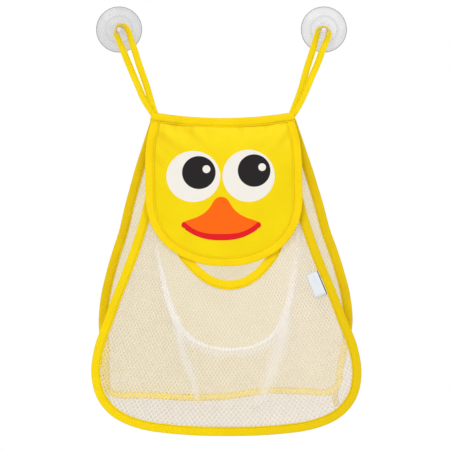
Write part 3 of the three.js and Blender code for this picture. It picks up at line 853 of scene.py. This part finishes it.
def gathered(name, seam, width, core, most, shift=0.0, count=13):
    """A strip of net gathered along a line: core is the share of it that is densest, most how dense."""
    u = np.linspace(-1, 1, count)[None, :, None]
    wide = np.broadcast_to(width, len(seam.point))[:, None, None]
    lift = FOLD_EDGE + (FOLD_LIFT - FOLD_EDGE) * (1 - u**2)
    grid = seam.point[:, None] + seam.inward[:, None] * (u / 2 * wide + shift) + seam.front[:, None] * lift
    fade = 1 - smooth_step((np.abs(u[0, :, 0]) - core) / (1 - core))
    dense = np.broadcast_to(most, len(grid))[:, None] * fade
    return make(name, grid.reshape(-1, 3), grid_faces(*grid.shape[:2]), GATHERED, "bag", "net",
                dense=dense.ravel())


# The crease in the photograph: row, then width in pixels and share of yarn on the left, and on the right
CREASE_LOOK = [(242, 5.5, 0.7, 13, 0.4), (262, 6.5, 0.9, 12, 0.55), (285, 8, 1.2, 10.5, 0.9),
               (305, 9, 1.25, 9, 1.2), (322, 9.5, 1.25, 9.5, 1.25), (338, 6.2, 1.3, 6.2, 1.3),
               (346, 4.4, 1.5, 4.4, 1.5)]
# The loose gathers by the crease: width and shift in pixels, share of yarn, the rows that they begin in
SOFT_WIDTH, SOFT_SHIFT, SOFT_MOST, SOFT_ROWS = 13, -4.5, 0.46, (322, 340)
# The two tucks below the crease: column, row and width in pixels
TUCKS = {
    "left": [(176, 316, 7), (179, 330, 9), (181.5, 347, 8), (188, 366, 8), (194, 383, 7.5), (197, 399, 5)],
    "right": [(285, 314, 9), (283, 332, 13), (274.5, 362, 14), (267, 385, 11), (261.5, 396, 9),
              (253, 410, 5)],
}
# How far the tucks lie behind the front seam's plane, and how much wider they are than they look
TUCK_BEHIND, TUCK_SPREAD = 4.0, 1.7
# Shares of a tuck's length, and the share of yarn at each
TUCK_MOST = ((0, 0.35, 1), (0.8, 0.52, 0.42))


def line_through(points):
    """A line through bag coordinates, flat to the front, as a seam."""
    return Seam(centripetal(points, 10))


def make_folds():
    """The gathers along the crease and the two tucks, all seen through the front net."""
    row = photo_row(-CREASE.point[:, 2])
    rows, *looks = np.array(CREASE_LOOK, float).T
    left, right = ([np.interp(row, rows, look) for look in pair] for pair in (looks[:2], looks[2:]))
    wide, dense = np.where(CREASE.point[:, 0] < 0, left, right)
    first, last = SOFT_ROWS
    soft = SOFT_MOST * smooth_step((row - first) / (last - first))
    out = [gathered("crease_fold", CREASE, wide * PIXEL, 0.4, dense),
           gathered("crease_gathers", CREASE, SOFT_WIDTH * PIXEL, 0.1, soft, SOFT_SHIFT * PIXEL)]
    for side, places in TUCKS.items():
        line = line_through([photo_place(x, y, FRONT_TOP_DEPTH + FRONT_SLOPE * photo_drop(y) - TUCK_BEHIND)
                             for x, y, _ in places])
        at = np.linspace(0, len(places) - 1, len(line.point))
        width = np.interp(at, np.arange(len(places)), [w * PIXEL * TUCK_SPREAD for _, _, w in places])
        out.append(gathered(f"{side}_tuck", line, width, 0.15, np.interp(at / at[-1], *TUCK_MOST)))
    return out


# Folded tapes

# The back tape's lapped end, as places in the photograph, and its lean in degrees
LAP, LAP_LEAN = ((335.5, 388), (334.6, 394), (335.2, 400), (337, 406)), -56.0
# How far the front and back tapes reach beyond their seams' ends, and the top tape stays short of them
TAPE_REACH, TOP_REACH = (2.0, 2.0), (-1.4, -0.4)
STITCH_IN, STITCH_DEEP = 1.5, 0.12
PUCKER = 0.06
# Pitch, length and radius of the stitches on the bag and on the loops
BAG_STITCH, LOOP_STITCH = (3.3, 2.5, 0.21), (2.9, 2.2, 0.16)
# Places along a stitch, and how much of its full radius it has there
STITCH_FORM = [(-0.5, 0.35), (-0.34, 1), (0.34, 1), (0.5, 0.35)]
GROOVE, CROWN = 0.22, 0.18


def tape_section(slot):
    """The closed outline of a folded tape: (into the cloth, to the front)."""
    h, e = slot / 2 + TAPE, WIDTH / 2
    r = min(h, e / 2)
    line = e - STITCH_IN
    face = [(e, h - 0.12), (e - 0.35, h), (line + 0.55, h + 0.02), (line + 0.2, h - GROOVE),
            (line - 0.2, h - GROOVE), (line - 0.6, h + 0.06), (1.2, h + CROWN), (-1.2, h + CROWN),
            (-e + r, h)]
    bend = [(-e + r - r * math.sin(a), h * math.cos(a)) for a in np.linspace(0.3, math.pi - 0.3, 7)]
    back = [(x, -y) for x, y in face[::-1]]
    s = slot / 2
    inner_r = r - TAPE
    inner = [(e, -s), (-e + r, -s)]
    inner += [(-e + r - inner_r * math.sin(a), -s * math.cos(a)) for a in np.linspace(0.5, math.pi - 0.5, 3)]
    inner += [(-e + r, s), (e, s)]
    return np.array(face + bend + back + inner)


def pucker(s, k):
    """How far the cloth of a tape is pushed out at lengths s."""
    return PUCKER * (np.sin(s / 1.15 + 2 * np.sin(s / 17.0)) + 0.7 * np.sin(s / 2.9 + k))


def tape(name, node, seam, slot, material, body="bag", shape=unchanged, seed=0.0):
    """A folded tape in place of a node, and its two rows of stitches. shape moves their points."""
    f = fine(seam)
    section = tape_section(slot)
    open_side = np.clip((section[:, 0] + 2) / 5, 0, 1) * np.sign(section[:, 1])
    lift = pucker(f.length + seed, seed)[:, None] * open_side
    ob = swept(name, f, section, material, body, "binding_tape", node, lift, shape, seed * 90)
    front = slot / 2 + TAPE - STITCH_DEEP
    return [ob, *stitches(name + "_stitches", f, WIDTH / 2 - STITCH_IN, front, body, "binding_tape",
                          BAG_STITCH, shape)]


def stitches(name, seam, into, front, body, slot, size, shape=unchanged):
    """The stitches along a seam in front and behind, each stitch a small capsule."""
    pitch, length, radius = size
    count = int(seam.length[-1] / pitch)
    point, *ways = seam.at((np.arange(count) + 0.5) * seam.length[-1] / count)
    turns = np.linspace(0, 2 * math.pi, 6)[:-1]
    local = np.array([[t * length, math.cos(a) * radius * k, math.sin(a) * radius * k]
                      for t, k in STITCH_FORM for a in turns])
    one = [list(f) for f in grid_faces(4, 5, wrap=True)] + [[4, 3, 2, 1, 0], [15, 16, 17, 18, 19]]
    faces = [[v + k * len(local) for v in f] for k in range(count) for f in one]
    out = []
    for mark, side in (("front", front), ("back", -front)):
        centre = (point + ways[1] * into + ways[2] * side)[:, None]
        verts = shape(centre + sum(way[:, None] * local[:, [k]] for k, way in enumerate(ways))).reshape(-1, 3)
        out.append(make(f"{name}_{mark}", verts, faces, THREAD, body, slot, place=np.tile(local, (count, 1))))
    return out


# Where the top tape's ends begin to swell, over how much, and how far to the front
SWELL_FROM, SWELL_OVER, SWELL_MOST = 38, 20, 3.3


def swollen_ends(points):
    """The top tape's front, swollen at its two ends over the loops and tapes that are sewn in there."""
    ends = smooth_step((np.abs(points[..., 0]) - SWELL_FROM) / SWELL_OVER)
    front = np.clip((-points[..., 1] - TOP_MIDDLE) / (TOP_FRONT - TOP_MIDDLE), 0, 1)
    out = points.copy()
    out[..., 1] -= SWELL_MOST * ends * front
    return out


# Flap

FLAP_CORNER = 0.3
FLAP_RISE = 2.2  # how far the cloth runs up past its top line
BACK_PRINT = 400  # how far aside the back of the cloth looks for the print, which it doesn't carry
# Pulls at each top corner: its place aside and down, their number to a radian, where they are highest and
# over what reach, and their height
PULL_CORNER, PULLS, PULL_FROM, PULL_OVER, PULL_HIGH = (78.0, 4.0), 13.0, 38.0, 30.0, 0.5
ROLL_HIGH, ROLL_LENGTH = 0.7, 19.0
# How far the flap runs back at its top, how much more in the middle, and over what height
BACK_SIDE, BACK_MIDDLE, BACK_OVER = 1.5, 3.2, 15.0


def flap_shape(points):
    """Soft pulls from the two top corners, a slight roll, and the way back to the top tape at the top."""
    x, drop = points[..., 0], -points[..., 2]
    pull = 0.0
    for side in (-1, 1):
        dx, dz = x - side * PULL_CORNER[0], drop - PULL_CORNER[1]
        r, a = np.hypot(dx, dz), np.arctan2(dz, -side * dx)
        pull = pull + np.sin(a * PULLS + side) * np.exp(-(((r - PULL_FROM) / PULL_OVER) ** 2)) * PULL_HIGH
    roll = ROLL_HIGH * np.sin(x / ROLL_LENGTH + 0.8) * np.clip(drop / 120.0, 0, 1)
    near = smooth_step(1 - (drop - top_line(x) - WIDTH / 2) / BACK_OVER)
    back = (BACK_SIDE + BACK_MIDDLE * smooth_step((60 - np.abs(x)) / 22.0)) * near
    out = points.copy()
    out[..., 1] += back - pull - roll
    return out


def flap_grid():
    half = FLAP_TOP_HALF - TAPE_EDGE - FLAP_CORNER
    places = top_places(len(FLAP_OUT) * 2 - 1, half, WIDTH / 2 + FLAP_GAP)
    top = seam_through(places, FLAP_PLANE, -1)
    last, end = into_tape(FLAP_SEAM, FLAP_SLOT)
    swell = FLAP_SWELL * distance(top.point, end) / (FLAP_HEIGHT - WIDTH)
    first = top.point + np.array([0, 0, FLAP_RISE])
    grid = ruled(first, top.point, end, last, FLAP_SEAM.front, swell, count=64)
    grid[[0, -1], 1:, 2] += FLAP_RISE
    return grid


def make_flap():
    """The printed cloth, its tape and the tape's stitches."""
    grid = flap_grid()[::-1]
    verts, faces = shell(flap_shape(grid), FLAP)
    front = (grid.reshape(-1, 3) + BAG_ORIGIN) * [1, 0, 1]
    place = np.vstack([front, front + [BACK_PRINT, 0, 0]])
    cloth = make("flap_cloth", verts, faces, FLAP_CLOTH, None, "flap_cloth", "flap_panel", place=place)
    edge = reached(FLAP_SEAM, *TAPE_REACH)
    band = tape("flap_tape", "flap_binding", edge, FLAP_SLOT, YELLOW, None, flap_shape, 3.0)
    for ob in (cloth, *band):
        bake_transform(ob)
    return cloth, *band


# Hanging loops

LOOP_DEPTH = TOP_FRONT + LOOP_THICK / 2
LOOP_GROOVE = 0.16
LOOP_STITCH_IN, LOOP_STITCH_DEEP = 1.32, 0.06
# The row from which a loop goes over from the neck's depth to the corner's, and over how many rows
LOOP_SINKS = (36, 78)
# Least and most turn of the tape beside the neck, its turn away from it, in degrees, and from how far off
# and over how much it goes over to that
LOOP_TURNS, LOOP_FLAT, TURN_FROM, TURN_OVER = (5, 75), 78, 11, 16

# Middle lines of the loops, as columns and rows of the photograph, from the front leg's sewn end over
# the neck to the other leg's
LOOP_LINES = {
    "left": [(155.8, 117), (150.8, 110), (143.8, 99), (139, 88), (133.8, 76), (128.8, 64), (123.9, 52),
             (119.6, 42), (116.6, 35), (115.8, 30), (117.2, 26.4), (120.8, 25.4), (125.2, 27), (128.3, 31),
             (130.2, 37), (132.8, 45), (135.4, 53), (139.2, 65), (143.4, 77), (147.2, 88), (150.4, 99),
             (153.6, 110), (156.2, 117)],
    "right": [(291, 117), (296, 110), (302, 99), (307, 88), (312, 76), (317.3, 64), (321.8, 52), (326, 42),
              (328.3, 36), (328.2, 30.8), (325.9, 27.3), (322, 26.9), (318.8, 29.6), (317.2, 34.2),
              (315.4, 40.5), (312.2, 52), (308.3, 64), (304.7, 76), (301.5, 88), (297.7, 99), (293.6, 110),
              (290.8, 117)],
}


def leg_turn(away):
    """How far the tape is turned to face the front: as far as the neck leaves it room, then nearly flat."""
    room = np.clip(away - NECK_RADIUS - GAP, 0.9, 3.4)
    turns = np.radians(np.linspace(*LOOP_TURNS, 71))
    need = (LOOP_WIDTH * np.sin(turns) + LOOP_THICK * np.cos(turns)) / 2
    near = np.interp(room, need, turns)
    return near + (math.radians(LOOP_FLAT) - near) * smooth_step((away - TURN_FROM) / TURN_OVER)


def loop_line(name, side):
    """The middle line of a loop: its first leg lies in front of the other at the corner."""
    columns, rows = np.array(LOOP_LINES[name], float).T
    first, over = LOOP_SINKS
    leg = np.arange(len(rows)) < len(rows) / 2
    corner = np.where(leg, LOOP_DEPTH, LOOP_DEPTH - LOOP_THICK - GAP)
    depth = NECK_DEPTH + (corner - NECK_DEPTH) * smooth_step((rows - first) / over)
    return Seam(centripetal(np.stack(photo_place(columns, rows, depth), 1)), side=-side)


def make_loop(name, side):
    """A loop of stitched tape over the neck of a cup."""
    line = loop_line(name, side)
    neck = np.array([side * CUP_X, -NECK_DEPTH, 0]) - BAG_ORIGIN
    angle = leg_turn(np.hypot(*(line.point - neck)[:, [0, 2]].T))[:, None]
    wide = line.front * np.cos(angle) + line.inward * np.sin(angle)
    line = line.changed(inward=wide, front=np.cross(wide, line.along))
    w, t = LOOP_WIDTH / 2, LOOP_THICK / 2
    low = t - LOOP_GROOVE
    face = [(-w + 0.1, 0.3), (-w + 0.35, t - 0.05), (-w + 0.9, t), (-w + 1.15, low), (-w + 1.5, low),
            (-w + 1.8, t), (0, t + 0.02), (w - 1.6, t), (w - 0.7, t - 0.02), (w - 0.2, t - 0.3), (w, 0.0)]
    section = np.array(face + [(x, -y) for x, y in face[-2::-1]])
    ob = swept(name + "_loop_tape", line, section, LOOP_YELLOW, None, "loop_tape", name + "_hanging_loop")
    into, front = LOOP_STITCH_IN - w, t - LOOP_STITCH_DEEP
    rows = stitches(name + "_loop_stitches", line, into, front, None, "loop_tape", LOOP_STITCH)
    for piece in (ob, *rows):
        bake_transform(piece)


# Suction cups

# A cup's profile as radius and height over the wall: its hollow underside, then its outside
CUP_UNDER = [(0, 3.2), (8.3, 2.9), (16.7, 1.6), (22.4, 0.0), (24.8, 0.0)]
CUP_DOME = [(25.0, 0.35), (24.95, 0.85), (24.6, 1.25), (24.0, 1.45), (22.2, 2.2), (19.8, 3.2), (17.2, 4.1),
            (15.0, 4.75), (14.6, 5.2), (14.1, 5.42), (13.4, 5.45), (11.4, 5.7), (9.4, 6.3), (8.0, 6.8),
            (6.6, 7.0), (3.4, 7.1), (2.5, 7.4), (2.1, 8.1), (2.1, 11.0), (2.1, 14.3), (2.5, 15.0),
            (3.4, 15.2), (5.9, 15.2), (6.8, 15.5), (7.1, 16.2), (6.95, 17.2), (6.2, 18.1), (4.6, 18.7),
            (2.4, 18.95), (0, 19.0)]
CUP_TURNS = 96
CUP_TONES = {"left": 198, "right": 216}  # how light each cup's haze is, of 255: the same vinyl, the left one painted darker as shade
# Where the cup's looks change: radii at which its rim begins, heights at which its knob does, and the
# radius and half width of the darker rings at its step and its flat lip; rim and rings are painted dark
# reflection
CUP_RIM, KNOB_FROM, CUP_STEP, CUP_FLAT = (23.6, 24.6), (7.2, 8.0), (14.6, 1.6), (22.4, 1.0)


def vinyl(name, tone):
    """Clear vinyl that is hazy on the disc, darker at the rim and at the steps as painted reflection, and
    clear at the knob, whose edge takes a painted bluish reflection.
    """
    n = new_material(name)
    radius, height, _ = n.split(n.attribute("place", "Vector"))
    cloud = n.noise(n.spot(), 70.0, 3.0)
    rim, knob = n.ramp(radius, *CUP_RIM), n.ramp(height, *KNOB_FROM)
    disc = n.sub(1.0, knob)

    def ring(middle, half):
        gap = n.math("DIVIDE", n.math("ABSOLUTE", n.sub(radius, middle)), half)
        return n.mul(n.math("SUBTRACT", 1.0, gap, clamp=True), disc)

    facing = n.new("LayerWeight", {"Blend": 0.35}).outputs["Facing"]
    light, dark = rgb(tone + 6, tone + 6, tone + 8), rgb(tone - 8, tone - 8, tone - 5)
    grey = n.mix(n.ramp(cloud, 0.35, 0.65), dark, light)
    # painted reflection: darker rings at the steps, a dark rim and a bluish edge on the knob
    steps = n.larger(n.mul(ring(*CUP_STEP), 0.5), n.mul(ring(*CUP_FLAT), 0.25))
    grey = n.mix(steps, grey, rgb(150, 151, 156))
    grey = n.mix(rim, grey, rgb(112, 113, 122))
    grey = n.mix(n.mul(knob, facing), grey, rgb(120, 132, 168))
    solid = n.shader("BsdfPrincipled", {
        "Base Color": grey, "Roughness": 0.16, "Specular IOR Level": 0.35,
        "Normal": n.bump(cloud, 0.0004, 0.15),
    })
    haze = n.larger(n.mul_add(cloud, 0.12, 0.33), n.mul(rim, 0.62))
    clear_knob = n.mul_add(n.mul(facing, facing), 0.55, 0.07)
    share = n.add(n.mul(haze, disc), n.mul(clear_knob, knob))
    return n.finish(n.blend(share, n.shader("BsdfTransparent"), solid))


def make_cup(name, side, material):
    """A cup turned about its axis, from the middle of its hollow round to the middle of its knob."""
    profile = np.array(CUP_UNDER + CUP_DOME)
    rings, ends = profile[1:-1], profile[[0, -1]]
    turns = np.arange(CUP_TURNS)
    radius, height = np.vstack([np.repeat(rings, CUP_TURNS, axis=0), ends]).T
    a = np.concatenate([np.tile(turns * 2 * math.pi / CUP_TURNS, len(rings)), [0, 0]])
    verts = np.stack([side * CUP_X + radius * np.cos(a), -height, radius * np.sin(a)], 1)
    faces = [list(f) for f in grid_faces(len(rings), CUP_TURNS, wrap=True)]
    under, after = len(rings) * CUP_TURNS, (turns + 1) % CUP_TURNS
    last = under - CUP_TURNS
    faces += [[under, j, k] for j, k in zip(turns, after)]
    faces += [[under + 1, last + k, last + j] for j, k in zip(turns, after)]
    place = np.stack([radius, height, radius * 0], 1)
    make(name + "_cup_moulding", verts - BAG_ORIGIN, faces, material, name + "_cup", "cup_vinyl",
         name + "_suction_cup", place=place)


# Label

LABEL_DROP, LABEL_HEIGHT, LABEL_OUT, LABEL_THICK = 171.2, 25.0, 14.2, 0.45
# How far in front of the net the label is, and how much further at its free corners and in its middle
LABEL_LIFT, LABEL_CURL, LABEL_BULGE = 0.75, 0.9, 0.25
LABEL_ROWS, LABEL_COLUMNS = 12, 7
# The dark line's section, and how far it lies above the label's middle
EDGE_LINE, EDGE_LIFT = [(0.9, 0.0), (1.0, 0.45), (1.45, 0.6), (1.9, 0.45), (2.0, 0.0)], 0.1


def make_label(surface):
    """A blank woven label in front of the net's surface, with a dark line along its seam edge."""
    tree = surface_tree(surface)
    right = fine(FRONT_SEAM, 1.0)
    half = len(right.length) // 2
    drops = LABEL_DROP + LABEL_HEIGHT * np.linspace(1, 0, LABEL_ROWS)
    line = right.cut([half + np.argmin(np.abs(-right.point[half:, 2] - drop)) for drop in drops])
    across = np.linspace(0, 1, LABEL_COLUMNS)
    grid = line.point[:, None] + line.inward[:, None] * (WIDTH / 2 - 1.0 + LABEL_OUT * across[:, None])
    corner = across**2 * np.abs(np.linspace(-1, 1, LABEL_ROWS))[:, None] ** 3
    seen = [[seen_at(tree, x, z) for x, _, z in row] for row in grid]
    grid[..., 1] = np.array(seen) - LABEL_LIFT - LABEL_CURL * corner - LABEL_BULGE * np.sin(math.pi * across)
    verts, faces = shell(grid, LABEL_THICK)
    place = np.stack(np.broadcast_arrays(line.length[:, None], 0.0, across * 12), -1).reshape(-1, 3)
    cloth = make("blank_label", verts, faces, LABEL, "bag", "label_cloth", "side_label",
                 place=np.vstack([place] * 2))
    edge = line.changed(point=grid[:, 0])
    return cloth, swept("label_edge", edge, np.array(EDGE_LINE), DARK_EDGE, "bag", "label_cloth",
                        lift=EDGE_LIFT, flat=1.0)


# Assembly

SIDES = {"left": -1, "right": 1}
front_surface, back_surface, gusset_front, gusset_back = net_surfaces()
front_net = hex_net("front_net_cloth", "front_net", front_surface, 0, LIT_CREAM_FRONT, FILM, wave=0.5,
                    fan=660.0)
back_net = hex_net("back_net_cloth", "back_net", back_surface, 4, SHADED_CREAM_BACK, SHADED_FILM_BACK, wave=0.3)
side_front = hex_net("gusset_front_cloth", "gusset_net", gusset_front, 0, CREAM, SHADED_FILM_GUSSET, wave=0.3,
                     fan=300.0, behind=back_surface)
side_back = hex_net("gusset_back_cloth", "gusset_net", gusset_back, 11, CREAM, FILM_CLEAR, wave=0.2)
folds = make_folds()

line = reached(FRONT_SEAM, *TAPE_REACH)
front_tape, *front_rows = tape("front_tape", "front_binding", line, DOUBLE_SLOT, SHADED_FRONT_YELLOW, seed=1.0)
line = reached(BACK_SEAM, *TAPE_REACH)
back_tape, *back_rows = tape("back_tape", "back_binding", line, DOUBLE_SLOT, SHADED, seed=2.0)
line = line_through([photo_place(x, y, BACK_DEPTH) for x, y in LAP])
line = leaned(line, np.full(len(line.point), LAP_LEAN))
lap_tape, *lap_rows = tape("back_tape_lap", "back_binding", line, DOUBLE_SLOT, SHADED, seed=6.0)
mouth_tape, *mouth_rows = tape("mouth_tape", "mouth_binding", MOUTH, SINGLE_SLOT, YELLOW, seed=4.0)
line = reached(TOP_SEAM, *TOP_REACH)
top_tape, *top_rows = tape("top_tape", "top_binding", line, TOP_SLOT, YELLOW, shape=swollen_ends, seed=5.0)
flap_cloth, flap_tape, *flap_rows = make_flap()
for name, side in SIDES.items():
    make_loop(name, side)
for name, side in SIDES.items():
    make_cup(name, side, vinyl(f"clear_vinyl_{name}", CUP_TONES[name]))
label, label_line = make_label(front_surface)


# Stage, light and camera

# The middle of the photograph from the part's origin, the camera's distance in metres, and its sensor's width
CENTRE = ((PHOTO_SIZE / 2 - PHOTO_COLUMN) * PIXEL, (PHOTO_ROW - PHOTO_SIZE / 2) * PIXEL)
FAR = 12.0
SENSOR = 36.0
# Name, the way that it shines from, strength and spread in degrees
LAMPS = (
    ("key", (-0.55, -1.0, 0.95), 1.22, 35),
    ("fill", (0.9, -1.0, 0.2), 0.5, 60),
    ("back", (0.35, 1.0, 0.5), 0.55, 50),
)
WORLD_FILL = 0.62  # how bright the white world is for all but camera, glossy and transmission rays
FLOOR_HALF, FLOOR_HEIGHT, FLOOR_GLOW = 6.0, -0.75, 0.5


def make_world():
    world = bpy.data.worlds.new("studio")
    bpy.context.scene.world = world
    n = Nodes(world, "OutputWorld")
    fill, white = (n.shader("Background", {"Color": WHITE, "Strength": s}) for s in (WORLD_FILL, 1.0))
    seen = n.larger(n.larger(n.ray("Camera"), n.ray("Transmission")), n.ray("Glossy"))
    n.finish(n.blend(seen, fill, white))


def make_lamps():
    for name, way, strength, spread in LAMPS:
        lamp = bpy.data.lights.new(name, "SUN")
        lamp.energy, lamp.angle = strength, math.radians(spread)
        ob = put_in_scene(name, lamp)
        ob.rotation_mode = "QUATERNION"
        ob.rotation_quaternion = Vector(way).to_track_quat("Z", "Y")


def make_floor():
    floor = bpy.data.meshes.new("floor")
    r, z = FLOOR_HALF, FLOOR_HEIGHT
    floor.from_pydata([(-r, -r, z), (r, -r, z), (r, r, z), (-r, r, z)], [], [(0, 1, 2, 3)])
    n = new_material("floor_paint")
    tone = n.mix(n.noise(n.spot(), 3.0), rgb(246, 246, 246), rgb(250, 250, 250))
    paint = n.shader("BsdfPrincipled", {"Base Color": tone, "Roughness": 0.8})
    glow = n.shader("Emission", {"Color": WHITE, "Strength": 1.0})
    floor.materials.append(n.finish(n.blend(n.mul(n.ray("Camera"), FLOOR_GLOW), paint, glow)))
    put_in_scene("floor", floor)


def make_camera():
    cam = bpy.data.cameras.new("photo")
    cam.sensor_width = SENSOR
    cam.lens = SENSOR * FAR / (PHOTO_SIZE * PIXEL * MM)
    cam.clip_start, cam.clip_end = 0.1, 100.0
    ob = put_in_scene("photo", cam)
    ob.location = (CENTRE[0] * MM, -FAR, CENTRE[1] * MM)
    ob.rotation_euler = (math.pi / 2, 0, 0)
    bpy.context.scene.camera = ob


make_camera()
make_world()
make_lamps()
make_floor()
bpy.context.scene.view_settings.view_transform = "Standard"
